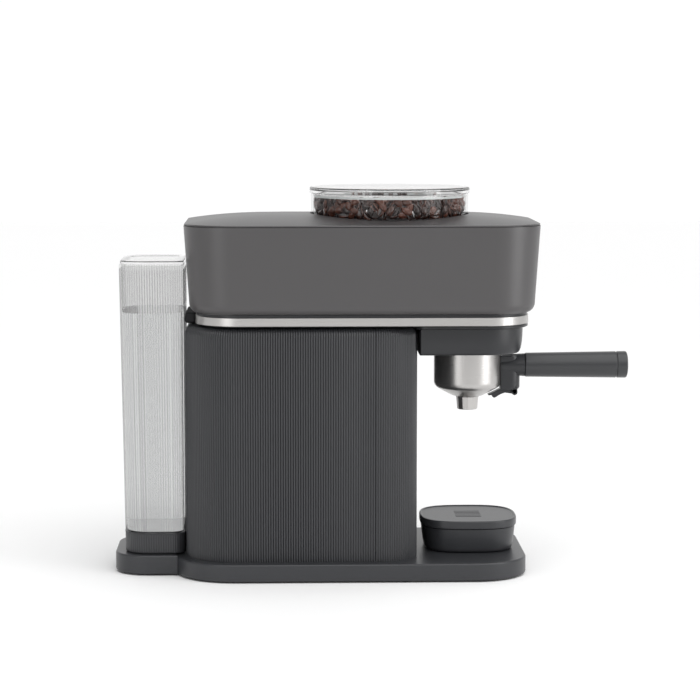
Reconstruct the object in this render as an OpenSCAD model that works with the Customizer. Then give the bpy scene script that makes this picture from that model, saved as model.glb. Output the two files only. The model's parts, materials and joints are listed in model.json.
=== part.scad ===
// Compact bean-to-cup espresso machine with a lock-in portafilter.
// +X is the front (portafilter handle), -X the rear (water tank), +Z is up.
// The origin is under the middle of the machine, on the table.

/* [Base] */
// Width of the base plate, side to side
base_w = 181; // [178:1:184]
// Front end of the base plate
base_front = 138; // [136:1:142]
// Rear end of the base plate
base_rear = -181; // [-183:1:-180]
// Height of the base plate's top above the table
base_top = 17; // [16.5:0.5:17.5]
// Height that the rubber feet stand below the base
foot_gap = 1.5; // [1.2:0.1:1.8]

/* [Column] */
// Width of the column, side to side
column_w = 160; // [156:1:164]
// Front of the column
column_front = 38.5; // [36:0.5:41]
// Rear of the column
column_rear = -171; // [-171.5:0.5:-169]
// Top of the column
column_top = 226.5; // [224:0.5:226.5]

/* [Hood] */
// Width of the hood at its rim
hood_w = 181; // [178:1:181]
// Front of the hood at its rim
hood_front = 148.8; // [147:0.2:150]
// Rear of the hood at its rim
hood_rear = -170.9; // [-171:0.1:-169]
// Underside of the hood
hood_bottom = 238.5; // [238:0.5:239]
// Rim where the hood meets its top cover
hood_rim = 317; // [315:1:318]
// Height that the top cover rises above the rim
dome_rise = 8.5; // [8:0.5:9]

/* [Bean hopper] */
// Centre of the hopper and the grinder, front to rear
hopper_x = 15.4; // [13:0.2:18]
// Outer radius of the hopper's lid
hopper_r = 73.1; // [72:0.1:74]
// Top of the hopper's lid
hopper_top = 349.6; // [348:0.2:352]

/* [Water tank] */
// Width of the tank, side to side
tank_w = 92; // [88:1:94]
// Rear of the tank at its top
tank_rear = -230.5; // [-231:0.5:-229]
// Top of the tank's lid
tank_top = 284.5; // [280:0.5:288]

/* [Portafilter] */
// Centre of the brew group, front to rear
group_x = 87.6; // [86:0.2:89]
// Outer radius of the portafilter bowl
bowl_r = 30.9; // [30.5:0.1:31.2]
// Height of the handle's axis
handle_z = 185.2; // [184.8:0.1:185.6]
// End of the handle's cap
handle_end = 235.7; // [232:0.1:238]

/* [Drip tray] */
// Half size of the drip tray's cover
tray_half = 44.4; // [42:0.2:45]
// Top of the cup stand
tray_top = 46.8; // [44:0.2:50]

/* [Hidden] */

$fn = 64;
eps = 0.01;
wall = 2.5;

// Corner radii of the plan outlines
base_r_rear = 56;
base_r_front = 48;
column_r_rear = 46;
column_r_front = 34;
hood_r = 44;
hood_taper = 4.2;

base_bottom = foot_gap;
tank_foot_rear = -235.7;
tank_foot_w = 106;
tank_foot_top = 18.5;
tank_foot_r = 30;

cover_t = 2.5;
gland_x = -110;
gland_z = 9.25;
hose_hole_x = -60;
deck_t = 3;
band_bottom = 228.7;
band_top = 236.3;
band_rear = -161;
band_front = 139.1;
band_w = 160;
band_wall = 1.2;

head_bottom = 200;
head_top = 228.2;
head_rear = 39.5;
head_front = 135.7;
head_w = 120;
head_bore_r = 42;

column_seam = 0;

dome_top = hood_rim + dome_rise;
hopper_seat = dome_top - 2.8;
throat_r = 22;
bowl_bottom = hopper_seat + 0.3;
lid_bottom = hopper_top - 6.1;
hopper_floor_r = hopper_r - 6.6;
hopper_floor_t = 2.8;

boiler_rear = 40;

burr_bottom = 284;
shaft_r = 4;
running = 0.05;

tank_front = -171.7;
tank_bottom = tank_foot_top + 0.3;
tank_cap_top = 37.1;
tank_wall = 2.2;
tank_r = 20;
tank_lid_t = 3.2;
tank_rim = tank_top - tank_lid_t - 0.3;
tank_lid_axis_x = tank_rear + 2.4;
tank_lid_axis_z = tank_top - 1.9;
tank_pin_r = 1;
valve_x = -200;

bowl_top = 205.5;
bowl_shoulder = 168.3;
bowl_bottom_z = 156.5;
bowl_wall = 2;
lug_w = 12;
bracket_front = 135.9;
grip_start = 139.8;
grip_end = handle_end - 10.9;
latch_x = 130.6;
latch_z = 160.6;
latch_pin_r = 1.5;

tray_x = 88.3;
tray_r = 30;
tray_bottom = base_top + 0.3;
tray_rim = 39.3;
tray_taper = 5;
skirt_inset = 4.6;

button_z = 282;
button_r = 5;
button_pitch = 17;
panel_back = 140.5;
panel_front = 146.4;

// ---------- shared shapes ----------

// Rectangle in plan with round corners, one radius at the rear and one at the front
module plan(rear, front, width, r_rear, r_front) {
    half = width / 2;
    union() {
        translate([rear + r_rear, -half]) square([front - rear - r_rear - r_front, width]);
        translate([rear, -half + r_rear]) square([r_rear + 1, width - 2 * r_rear]);
        translate([front - r_front - 1, -half + r_front]) square([r_front + 1, width - 2 * r_front]);
        for (side = [-1, 1]) {
            translate([rear + r_rear, side * (half - r_rear)]) circle(r = r_rear);
            translate([front - r_front, side * (half - r_front)]) circle(r = r_front);
        }
    }
}

// The same outline as a block between two heights
module block(rear, front, width, r_rear, r_front, low, high) {
    translate([0, 0, low]) linear_extrude(height = high - low) plan(rear, front, width, r_rear, r_front);
}

// A tube or rod along Z, X or Y
module tube_z(x, y, low, high, r, bore = 0) {
    translate([x, y, low]) difference() {
        cylinder(r = r, h = high - low);
        if (bore > 0) translate([0, 0, -1]) cylinder(r = bore, h = high - low + 2);
    }
}

module rod_x(low, high, y, z, r1, r2) {
    translate([low, y, z]) rotate([0, 90, 0]) cylinder(r1 = r1, r2 = r2, h = high - low);
}

module rod_y(low, high, x, z, r) {
    translate([x, high, z]) rotate([90, 0, 0]) cylinder(r = r, h = high - low);
}

// A box between two corners
module bar(low, high) {
    translate(low) cube(high - low);
}

// A hose of straight runs with round elbows through a list of points
module hose(points, r) {
    union() {
        for (i = [0 : len(points) - 2]) {
            run = points[i + 1] - points[i];
            length = norm(run);
            translate(points[i])
                rotate([0, acos(run[2] / length), atan2(run[1], run[0])])
                    cylinder(r = r, h = length);
        }
        for (i = [1 : len(points) - 2]) translate(points[i]) sphere(r = r);
    }
}

// A machine screw with a pan head, its head down
module screw(x, y, low) {
    tube_z(x, y, low, low + 1.6, 3.4);
    tube_z(x, y, low + 1.6, low + 10, 1.7);
}

// Centres of the six bottom screws
screw_places = [[-150, -45], [-150, 45], [-30, -76], [-30, 76], [105, -62], [105, 62]];
// Centres of the rubber feet
foot_places = [[-120, -62], [-120, 62], [85, -62], [85, 62], [-216, -30], [-216, 30]];

// ---------- base ----------

module base_plate() {
    color("#424345") difference() {
        block(base_rear, base_front, base_w, base_r_rear, base_r_front, base_bottom, base_top);
        block(base_rear + wall, base_front - wall, base_w - 2 * wall, base_r_rear - wall,
              base_r_front - wall, base_bottom - 1, base_top - wall);
        rod_y(base_w / 2 - 10, base_w / 2 + 1, gland_x, gland_z, 4.7);
        tube_z(hose_hole_x, 0, base_top - wall - 1, base_top + 1, 20);
    }
    color("#424345") for (p = screw_places) tube_z(p[0], p[1], base_bottom + cover_t, base_top - wall, 5, 1.7);
}

module bottom_cover() {
    color("#2b2c2e") difference() {
        block(base_rear + wall + 0.3, base_front - wall - 0.3, base_w - 2 * wall - 0.6,
              base_r_rear - wall, base_r_front - wall, base_bottom, base_bottom + cover_t);
        for (p = screw_places) {
            tube_z(p[0], p[1], base_bottom - 1, base_bottom + 1.8, 3.6);
            tube_z(p[0], p[1], base_bottom - 1, base_bottom + 5, 1.8);
        }
        for (i = [0 : 3]) tube_z(foot_places[i][0], foot_places[i][1], base_bottom - 1, base_bottom + 1.5, 9.2);
    }
}

module rubber_feet() {
    color("#1d1d1f") for (p = foot_places) tube_z(p[0], p[1], 0, base_bottom + 1.4, 9);
}

module case_screws() {
    color("#9a9ca0") for (p = screw_places) screw(p[0], p[1], base_bottom + 0.1);
}

module tank_foot() {
    color("#424345") difference() {
        block(tank_foot_rear, base_rear + 20, tank_foot_w, tank_foot_r, 5, base_bottom, tank_foot_top);
        block(base_rear - 0.2, base_front, base_w, base_r_rear, base_r_front, 0, tank_foot_top + 1);
        for (i = [4 : 5]) tube_z(foot_places[i][0], foot_places[i][1], base_bottom - 1, base_bottom + 1.5, 9.2);
    }
}

module tank_valve_seat() {
    color("#1d1d1f") tube_z(valve_x, 0, tank_foot_top, tank_foot_top + 0.25, 7, 3);
}

module cord_gland() {
    color("#1d1d1f") translate([gland_x, base_w / 2, gland_z]) rotate([90, 0, 0]) difference() {
        union() {
            cylinder(r = 4.6, h = 7);
            translate([0, 0, wall + 0.3]) cylinder(r = 5.1, h = 4.2);
        }
        translate([0, 0, -1]) cylinder(r = 3.5, h = 9);
    }
}

// ---------- column ----------

module column_case(rear, front) {
    intersection() {
        difference() {
            block(column_rear, column_front, column_w, column_r_rear, column_r_front, base_top, column_top);
            block(column_rear + wall, column_front - wall, column_w - 2 * wall, column_r_rear - wall,
                  column_r_front - wall, base_top - 1, column_top - wall);
        }
        bar([rear, -column_w, 0], [front, column_w, column_top + 1]);
    }
}

module column_shell() {
    color("#3b3c3f") difference() {
        column_case(column_rear - 1, column_seam - 0.3);
        tube_z(hose_hole_x, 0, column_top - wall - 1, column_top + 1, 8);
    }
}

module column_front_cover() {
    color("#414245") column_case(column_seam + 0.3, column_front + 1);
}

module chassis_frame() {
    color("#5a5c60") union() {
        for (side = [-1, 1]) {
            for (x = [-120, 10]) bar([x - 5, side * 66 - 4, base_top], [x + 5, side * 66 + 4, column_top - wall]);
            bar([-115, side * 66 - 4, base_top], [5, side * 66 + 4, base_top + 8]);
        }
        bar([-124, -62, base_top], [-116, 62, base_top + 8]);
    }
}

module support_deck() {
    color("#242527") difference() {
        union() {
            block(band_rear + band_wall, band_front - band_wall, band_w - 2 * band_wall, 40, 40, head_top, hood_bottom);
            bar([column_rear + 25, -60, column_top], [head_rear - 15, 60, head_top]);
        }
        block(band_rear + 6, band_front - 6, band_w - 12, 36, 36, head_top + deck_t, hood_bottom + 1);
        tube_z(group_x, 0, head_top - 1, head_top + deck_t + 1, 30);
        tube_z(hose_hole_x, 0, column_top - 1, head_top + deck_t + 1, 12);
    }
}

module water_pump() {
    color("#8d9094") union() {
        rod_x(-120, -60, 0, 60, 22, 22);
        rod_x(-60, -38, 0, 60, 9, 9);
        rod_x(-134, -120, 0, 60, 6, 6);
    }
}

module pump_mounts() {
    color("#1d1d1f") for (x = [-110, -70]) difference() {
        bar([x, -28, base_top], [x + 8, 28, 88]);
        rod_x(x - 1, x + 9, 0, 60, 22, 22);
    }
}

module flow_meter() {
    color("#d8d5cc") tube_z(-145, 0, base_top, base_top + 30, 13);
}

module suction_hose() {
    color("#d6dad9") hose([[-145, 0, 47], [-145, 0, 60], [-134, 0, 60]], 4);
}

module pump_hose() {
    color("#d6dad9") hose([[-38, 0, 60], [-26, 0, 60], [-26, 0, 215], [-60, 0, 215], [-60, 0, 243]], 4);
}

module release_valve() {
    color("#b08d4f") bar([-68, -9, 243], [-50, 9, 262]);
}

module brew_pipe() {
    color("#c9ccd0") hose([[-50, 0, 252], [-40, 0, 252], [-40, -48, 252], [boiler_rear, -48, 252]], 2.5);
}

module boiler() {
    color("#a9acb0") union() {
        bar([boiler_rear, -64, head_top + deck_t], [boiler_rear + 72, -32, 280]);
        bar([77, -33, 243], [98, 12, 256]);
    }
}

// ---------- hood ----------

module hood_outline(z_low, z_high, inset) {
    mid = (hood_rear + hood_front) / 2;
    hull() {
        block(hood_rear + inset, hood_front - inset, hood_w - 2 * inset, hood_r - inset, hood_r - inset,
              z_high - eps, z_high);
        block(hood_rear + hood_taper + inset, hood_front - hood_taper - inset,
              hood_w - 2 * hood_taper - 2 * inset, hood_r - inset, hood_r - inset, z_low + 9, z_low + 9 + eps);
        block(hood_rear + hood_taper + 3 + inset, hood_front - hood_taper - 3 - inset,
              hood_w - 2 * hood_taper - 6 - 2 * inset, hood_r - inset, hood_r - inset, z_low + 2.6, z_low + 2.6 + eps);
        block(hood_rear + hood_taper + 9 + inset, hood_front - hood_taper - 9 - inset,
              hood_w - 2 * hood_taper - 18 - 2 * inset, hood_r - inset, hood_r - inset, z_low, z_low + eps);
    }
}

// Block that steadies the front of the tank
module tank_bumper() {
    color("#1f2021") block(column_rear, band_rear, 68, 4, 0.5, band_bottom - 1, band_top + 1);
}

module hood_shell() {
    color("#5c5b5c") difference() {
        hood_outline(hood_bottom, hood_rim, 0);
        hood_outline(hood_bottom + 3, hood_rim + 1, 3);
        block(-80, band_front - 12, band_w - 20, 10, 34, hood_bottom - 1, hood_bottom + 4);
        bar([panel_back - 1, -30, button_z - 9], [hood_front + 5, 30, button_z + 9]);
    }
}

// Outline of the top cover, drawn in by a given amount at a given height
module dome_slice(inset, z) {
    r = max(hood_r - inset, 12);
    block(hood_rear + inset, hood_front - inset, hood_w - 2 * inset, r, r, z, z + 0.2, $fn = 48);
}

module dome(drop) {
    hull() {
        dome_slice(drop, hood_rim + 0.3 - drop);
        dome_slice(drop + 1, hood_rim + 2.4 - drop);
        dome_slice(drop + 18, hood_rim + 5.2 - drop);
        dome_slice(drop + 38, hood_rim + 7.2 - drop);
        dome_slice(drop + 60, hood_rim + dome_rise - 0.2 - drop);
    }
}

module hood_top_cover() {
    color("#747374") difference() {
        dome(0);
        dome(4);
        translate([hopper_x, 0, hopper_seat]) cylinder(r = hopper_r - 3, h = 20);
        translate([hopper_x, 0, hood_rim - 2]) cylinder(r = throat_r + 4, h = 20);
    }
}

module steel_band() {
    color("#b4b4b4") difference() {
        block(band_rear, band_front, band_w, 41, 41, band_bottom, band_top);
        block(band_rear + band_wall, band_front - band_wall, band_w - 2 * band_wall, 40, 40,
              band_bottom - 1, band_top + 1);
    }
}

module control_board() {
    color("#2f5d3a") union() {
        bar([-150, -50, hood_bottom + 3], [-90, 50, hood_bottom + 4.6]);
        for (y = [-30, 0, 30]) bar([-140, y - 8, hood_bottom + 4.6], [-120, y + 8, hood_bottom + 17]);
    }
}

module button_panel() {
    color("#1f2022") difference() {
        bar([panel_back, -29.6, button_z - 8.6], [panel_front, 29.6, button_z + 8.6]);
        for (i = [-1 : 1])
            translate([panel_back - 1, i * button_pitch, button_z]) rotate([0, 90, 0])
                cylinder(r = button_r + 0.3, h = panel_front - panel_back + 2);
    }
}

// A push button with a round cap; index sets its place in the row
module push_button(index) {
    color("#d9d9d9") union() {
        rod_x(panel_back + 1.5, panel_front + 0.6, index * button_pitch, button_z, button_r, button_r);
        rod_x(panel_back - 4, panel_back + 1.5, index * button_pitch, button_z, 2, 2);
    }
}

module power_button() { push_button(-1); }
module single_button() { push_button(0); }
module double_button() { push_button(1); }

// ---------- grinder ----------

module grinder_motor() {
    color("#77797d") difference() {
        tube_z(hopper_x, 0, head_top + deck_t, 270, 28);
        tube_z(hopper_x, 0, 244, 272, shaft_r + running);
    }
}

module grinder_housing() {
    color("#2b2c2e") difference() {
        tube_z(hopper_x, 0, 270, 306, 33);
        tube_z(hopper_x, 0, 276, 307, 27);
        tube_z(hopper_x, 0, 269, 277, shaft_r + 0.4);
        bar([hopper_x + 20, -9, 276], [hopper_x + 36, 9, 282]);
    }
}

module ring_burr() {
    color("#8a8c90") difference() {
        tube_z(hopper_x, 0, burr_bottom, burr_bottom + 14, 27);
        translate([hopper_x, 0, burr_bottom - eps]) cylinder(r1 = 19.5, r2 = 24, h = 14 + 2 * eps);
    }
}

module cone_burr() {
    color("#8a8c90") difference() {
        translate([hopper_x, 0, burr_bottom]) cylinder(r1 = 18.5, r2 = 7, h = 16);
        tube_z(hopper_x, 0, burr_bottom - 1, burr_bottom + 17, shaft_r);
    }
}

module grinder_shaft() {
    color("#c9ccd0") tube_z(hopper_x, 0, 246, burr_bottom + 18, shaft_r);
}

module grounds_chute() {
    color("#2b2c2e") difference() {
        hull() {
            bar([hopper_x + 33.2, -11, 270], [hopper_x + 34, 11, 284]);
            bar([group_x - 14, -11, 258], [group_x - 13, 11, 270]);
        }
        hull() {
            bar([hopper_x + 33, -9, 272], [hopper_x + 34, 9, 282]);
            bar([group_x - 14, -9, 260], [group_x - 12, 9, 268]);
        }
    }
}

// ---------- hopper ----------

module hopper_bowl() {
    color("#e8edee", 0.4) translate([hopper_x, 0, 0]) rotate_extrude() polygon([
        [hopper_floor_r, bowl_bottom + 1], [hopper_r - 5.5, bowl_bottom + 1.3], [hopper_r - 3.6, bowl_bottom + 4.5],
        [hopper_r - 3, bowl_bottom + 8], [hopper_r - 1, lid_bottom], [hopper_r - 3.4, lid_bottom],
        [hopper_r - 5.6, bowl_bottom + 8], [hopper_floor_r, bowl_bottom + hopper_floor_t]
    ]);
}

module hopper_floor() {
    color("#e8edee", 0.4) translate([hopper_x, 0, 0]) rotate_extrude() polygon([
        [throat_r, 307], [throat_r, bowl_bottom], [hopper_r - 10, bowl_bottom], [hopper_floor_r, bowl_bottom + 1],
        [hopper_floor_r, bowl_bottom + hopper_floor_t], [throat_r - 2, bowl_bottom + hopper_floor_t],
        [throat_r - 2, 307]
    ]);
}

module hopper_lid() {
    color("#e8edee", 0.4) translate([hopper_x, 0, 0]) rotate_extrude() polygon([
        [0, hopper_top - 2.4], [hopper_r - 7, hopper_top - 2.4], [hopper_r - 7, lid_bottom - 4],
        [hopper_r - 4.6, lid_bottom - 4], [hopper_r - 4.6, lid_bottom + 0.4], [hopper_r, lid_bottom + 0.4],
        [hopper_r, hopper_top - 1.2], [hopper_r - 1.2, hopper_top], [0, hopper_top]
    ]);
}

module hopper_lid_seal() {
    color("#e4e6e6", 0.7) translate([hopper_x, 0, lid_bottom - 3.4]) difference() {
        cylinder(r = hopper_r - 4.2, h = 2);
        translate([0, 0, -1]) cylinder(r = hopper_r - 4.6, h = 4);
    }
}

// ---------- tank ----------

module tank_body() {
    color("#dfe6e8", 0.4) difference() {
        union() {
            block(tank_rear, tank_front, tank_w, tank_r, 8, tank_cap_top, tank_rim);
            for (side = [-1, 1])
                bar([tank_rear + 0.7, side * 25 - 2, tank_rim - 6], [tank_rear + 4.6, side * 25 + 2, tank_top - 0.3]);
        }
        difference() {
            block(tank_rear + tank_wall, tank_front - tank_wall, tank_w - 2 * tank_wall, tank_r - tank_wall,
                  8 - tank_wall, tank_cap_top - 1, tank_rim + 1);
            for (side = [-1, 1])
                bar([tank_rear, side * 25 - 2, tank_rim - 6], [tank_rear + 4.6, side * 25 + 2, tank_top]);
        }
        bar([tank_rear - 1, -22.6, tank_lid_axis_z - 2.6], [tank_rear + 6, 22.6, tank_top]);
        rod_y(-30, 30, tank_lid_axis_x, tank_lid_axis_z, tank_pin_r);
    }
}

module tank_base_cap() {
    color("#3f4042") difference() {
        block(tank_rear + 4, tank_front, tank_w, tank_r, 8, tank_bottom, tank_cap_top);
        block(tank_rear + 4 + tank_wall, tank_front - tank_wall, tank_w - 2 * tank_wall, tank_r - tank_wall,
              8 - tank_wall, tank_bottom + 4, tank_cap_top + 1);
        tube_z(valve_x, 0, tank_bottom - 1, tank_bottom + 5, 4 + running);
    }
}

module tank_valve() {
    color("#1d1d1f") union() {
        tube_z(valve_x, 0, tank_bottom + 0.2, tank_bottom + 5, 4);
        tube_z(valve_x, 0, tank_bottom + 4.2, tank_bottom + 6.2, 9);
    }
}

module tank_lid() {
    color("#dfe6e8", 0.5) difference() {
        union() {
            difference() {
                block(tank_rear, tank_front, tank_w, tank_r, 8, tank_top - tank_lid_t, tank_top);
                bar([tank_rear - 1, -tank_w, tank_top - 9], [tank_lid_axis_x + 3, tank_w, tank_top + 1]);
            }
            bar([tank_lid_axis_x, -22, tank_lid_axis_z - 0.4], [tank_lid_axis_x + 4, 22, tank_top]);
            rod_y(-22, 22, tank_lid_axis_x, tank_lid_axis_z, 1.9);
        }
        rod_y(-50, 50, tank_lid_axis_x, tank_lid_axis_z, tank_pin_r + running);
        rod_y(-6, 6, tank_front + 2, tank_top + 3, 7);
    }
}

module tank_lid_pin() {
    color("#c9ccd0") rod_y(-27, 27, tank_lid_axis_x, tank_lid_axis_z, tank_pin_r);
}

// ---------- brew head ----------

module brew_head_housing() {
    color("#38393b") difference() {
        union() {
            block(head_rear, head_front, head_w, 12, 34, head_bottom, head_top - 4);
            block(head_rear, head_front + 5, head_w + 8, 12, 38, head_top - 4, head_top);
        }
        block(head_rear + 3, head_front - 3, head_w - 6, 9, 31, head_bottom + 14, head_top + 1);
        tube_z(group_x, 0, head_bottom - 1, head_bottom + 15, head_bore_r);
    }
}

module group_head() {
    color("#a9acb0") difference() {
        union() {
            tube_z(group_x, 0, 215, head_top, 36);
            tube_z(group_x, 0, 211.2, 215, 34);
            tube_z(group_x, 0, head_top, 243, 12);
        }
        tube_z(group_x, 0, 210, 244, 3);
    }
}

module shower_screen() {
    color("#b4b4b4") tube_z(group_x, 0, 209.4, 211.2, 26.5);
}

module group_gasket() {
    color("#1d1d1f") tube_z(group_x, 0, 207, 211.2, 33, 27);
}

module bayonet_ring() {
    color("#8d9094") difference() {
        tube_z(group_x, 0, 201, 206.6, 41, bowl_r + 0.4);
        for (side = [-1, 1])
            translate([group_x + side * (bowl_r + 2.2), 0, 203]) cube([6.4, lug_w + 1, 6], center = true);
    }
}

// ---------- portafilter ----------

module portafilter_bowl() {
    color("#c3c3c1") union() {
        translate([group_x, 0, 0]) rotate_extrude() polygon([
            [bowl_r - bowl_wall, bowl_top], [bowl_r, bowl_top], [bowl_r, bowl_shoulder],
            [bowl_r - 1.5, bowl_shoulder - 4], [bowl_r - 6, bowl_shoulder - 8], [14, bowl_bottom_z], [5, bowl_bottom_z],
            [5, bowl_bottom_z + 2], [14, bowl_bottom_z + 2.4], [bowl_r - 7.5, bowl_shoulder - 5.6],
            [bowl_r - bowl_wall - 1.2, bowl_shoulder - 2.6], [bowl_r - bowl_wall, bowl_shoulder]
        ]);
        for (side = [-1, 1]) intersection() {
            tube_z(group_x, 0, 202, bowl_top, bowl_r + 4, bowl_r);
            translate([group_x + side * bowl_r, 0, 204]) cube([12, lug_w, 6], center = true);
        }
    }
}

module filter_basket() {
    color("#c9ccd0") translate([group_x, 0, 0]) rotate_extrude() polygon([
        [0, 177], [27, 177], [27.4, 178], [27.4, bowl_top], [bowl_r, bowl_top], [bowl_r, bowl_top + 0.8],
        [26.6, bowl_top + 0.8], [26.6, 178], [0, 178]
    ]);
}

module basket_clip() {
    color("#9a9ca0") tube_z(group_x, 0, 199, 200.2, bowl_r - bowl_wall, 27.4);
}

module pouring_spout() {
    color("#c3c3c1") translate([group_x, 0, 144.6]) difference() {
        cylinder(r1 = 9.3, r2 = 10.15, h = bowl_bottom_z - 144.6);
        translate([0, 0, -1]) cylinder(r = 5, h = 14);
    }
}

module handle_bracket() {
    color("#2b2c2e") difference() {
        union() {
            bar([group_x + 20, -9, 164], [bracket_front, 9, 195]);
            bar([bracket_front - 1, -8, 175.2], [grip_start, 8, 194.6]);
            for (side = [-1, 1]) bar([latch_x - 3.2, side * 6.5 - 1.5, latch_z - 3], [latch_x + 3.2, side * 6.5 + 1.5, 164]);
        }
        tube_z(group_x, 0, 150, 200, bowl_r);
        rod_y(-10, 10, latch_x, latch_z, latch_pin_r);
        rod_x(118, 145, 0, handle_z, 3, 3);
    }
}

module latch_lever() {
    color("#232426") difference() {
        union() {
            rod_y(-4.6, 4.6, latch_x, latch_z, 3.2);
            translate([0, 4.6, 0]) rotate([90, 0, 0]) linear_extrude(height = 9.2) polygon([
                [latch_x, latch_z - 3.2], [latch_x - 18, latch_z - 7.6], [latch_x - 19, latch_z - 5.6],
                [latch_x - 24, latch_z - 4.6], [latch_x - 24, latch_z - 3.4], [latch_x - 17.6, latch_z - 4],
                [latch_x - 10, latch_z - 2.2], [latch_x, latch_z + 3]
            ]);
        }
        rod_y(-10, 10, latch_x, latch_z, latch_pin_r + running);
    }
}

module latch_pin() {
    color("#9a9ca0") rod_y(-8, 8, latch_x, latch_z, latch_pin_r);
}

module handle_grip() {
    color("#343537") difference() {
        rod_x(grip_start, grip_end, 0, handle_z, 11.1, 12.2);
        rod_x(grip_start - 1, grip_end - 10, 0, handle_z, 3, 3);
    }
}

module handle_bolt() {
    color("#9a9ca0") rod_x(118.6, grip_end - 12, 0, handle_z, 3, 3);
}

module handle_cap() {
    color("#3d3e40") translate([grip_end, 0, handle_z]) rotate([0, 90, 0]) rotate_extrude() polygon([
        [0, 0], [11.4, 0], [11.4, 0.7], [12.2, 0.9], [12.3, 9.2], [11.4, 10.5], [0, handle_end - grip_end]
    ]);
}

// ---------- drip tray ----------

// Tray outline at a given height, drawn in by a given amount
module tray_slice(inset, z) {
    block(tray_x - tray_half + inset, tray_x + tray_half - inset, 2 * (tray_half + 1) - 2 * inset,
          tray_r - inset / 2, tray_r - inset / 2, z, z + eps);
}

module drip_tray() {
    color("#37383b") difference() {
        hull() {
            tray_slice(0.8, tray_rim - eps);
            tray_slice(tray_taper, tray_bottom);
        }
        hull() {
            tray_slice(3, tray_rim + 1);
            tray_slice(tray_taper + 2.4, tray_bottom + 3);
        }
    }
}

// Outline of the skirt that drops into the tray, drawn in by a given amount
module skirt_plan(inset) {
    plan(tray_x - tray_half + inset, tray_x + tray_half - inset, 2 * (tray_half + 1 - inset),
         tray_r - inset / 2, tray_r - inset / 2);
}

module cup_stand_cover() {
    color("#3c3d40") difference() {
        union() {
            translate([0, 0, tray_rim + 0.3]) linear_extrude(height = tray_top - tray_rim - 0.3)
                plan(tray_x - tray_half, tray_x + tray_half, 2 * (tray_half + 1), tray_r, tray_r);
            translate([0, 0, tray_rim - 2]) linear_extrude(height = 3)
                skirt_plan(skirt_inset);
        }
        translate([0, 0, tray_rim - 3]) linear_extrude(height = 6)
            skirt_plan(skirt_inset + 2);
        for (i = [-2 : 2]) bar([tray_x - 12, i * 7 - 1.2, tray_rim], [tray_x + 12, i * 7 + 1.2, tray_top + 1]);
    }
}

base_plate();
bottom_cover();
rubber_feet();
tank_foot();
tank_valve_seat();
case_screws();
cord_gland();
column_shell();
column_front_cover();
chassis_frame();
support_deck();
steel_band();
tank_bumper();
hood_shell();
hood_top_cover();
brew_head_housing();
group_head();
shower_screen();
group_gasket();
boiler();
water_pump();
pump_mounts();
flow_meter();
suction_hose();
pump_hose();
brew_pipe();
release_valve();
control_board();
button_panel();
grinder_motor();
grinder_housing();
ring_burr();
grounds_chute();
hopper_bowl();
hopper_floor();
hopper_lid();
hopper_lid_seal();
cone_burr();
grinder_shaft();
power_button();
single_button();
double_button();
tank_body();
tank_base_cap();
tank_lid();
tank_lid_pin();
tank_valve();
bayonet_ring();
portafilter_bowl();
filter_basket();
basket_clip();
pouring_spout();
handle_bracket();
handle_grip();
handle_cap();
handle_bolt();
latch_lever();
latch_pin();
drip_tray();
cup_stand_cover();
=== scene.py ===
import json
import math
import random

import bmesh
import bpy
from bpy.props import FloatProperty, FloatVectorProperty, IntProperty, PointerProperty
from mathutils import Euler, Matrix, Vector


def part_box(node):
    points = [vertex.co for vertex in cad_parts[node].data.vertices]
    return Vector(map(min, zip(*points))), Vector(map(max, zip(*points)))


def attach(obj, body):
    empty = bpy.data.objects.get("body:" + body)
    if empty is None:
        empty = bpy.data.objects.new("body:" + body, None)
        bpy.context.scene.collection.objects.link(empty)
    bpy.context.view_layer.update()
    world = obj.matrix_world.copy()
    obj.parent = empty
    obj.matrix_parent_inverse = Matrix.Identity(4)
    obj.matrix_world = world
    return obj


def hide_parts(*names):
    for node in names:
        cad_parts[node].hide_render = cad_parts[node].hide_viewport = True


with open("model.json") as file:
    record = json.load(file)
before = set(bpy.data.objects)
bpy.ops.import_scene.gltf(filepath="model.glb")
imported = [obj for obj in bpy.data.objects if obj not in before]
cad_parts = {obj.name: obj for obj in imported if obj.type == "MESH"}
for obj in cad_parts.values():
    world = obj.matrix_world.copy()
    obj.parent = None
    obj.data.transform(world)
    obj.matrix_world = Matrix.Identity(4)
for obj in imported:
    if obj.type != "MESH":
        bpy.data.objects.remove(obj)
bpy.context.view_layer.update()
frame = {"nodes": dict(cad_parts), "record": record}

bl_info = {
    "name": "Compact Espresso Machine",
    "version": (1, 0, 0),
    "blender": (4, 5, 0),
    "location": "3D View > Sidebar > Espresso",
    "description": "Builds the looks of a bean-to-cup espresso machine and its studio",
    "category": "Object",
}

MM = 0.001


# ---------- colours and nodes ----------

def linear(hex_colour):
    """An sRGB hex colour as linear red, green and blue."""
    def channel(text):
        value = int(text, 16) / 255
        return value / 12.92 if value <= 0.04045 else ((value + 0.055) / 1.055) ** 2.4
    return tuple(channel(hex_colour[i:i + 2]) for i in (1, 3, 5))


def opaque(colour):
    return (*colour[:3], 1.0)


def add_node(tree, kind, settings=None, inputs=None, links=None):
    """Adds one shader node, sets its attributes and sockets, and links the named sockets to other outputs."""
    node = tree.nodes.new(kind)
    for key, value in (settings or {}).items():
        setattr(node, key, value)
    for key, value in (inputs or {}).items():
        node.inputs[key].default_value = value
    for key, output in (links or {}).items():
        tree.links.new(output, node.inputs[key])
    return node


def start_material(name):
    """An empty node material with an output, and the Object coordinates that every pattern reads."""
    material = bpy.data.materials.new(name)
    material.use_nodes = True
    tree = material.node_tree
    tree.nodes.clear()
    coordinates = add_node(tree, "ShaderNodeTexCoord")
    return material, tree, coordinates.outputs["Object"]


def end_material(tree, shader):
    add_node(tree, "ShaderNodeOutputMaterial", links={"Surface": shader.outputs[0]})


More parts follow.
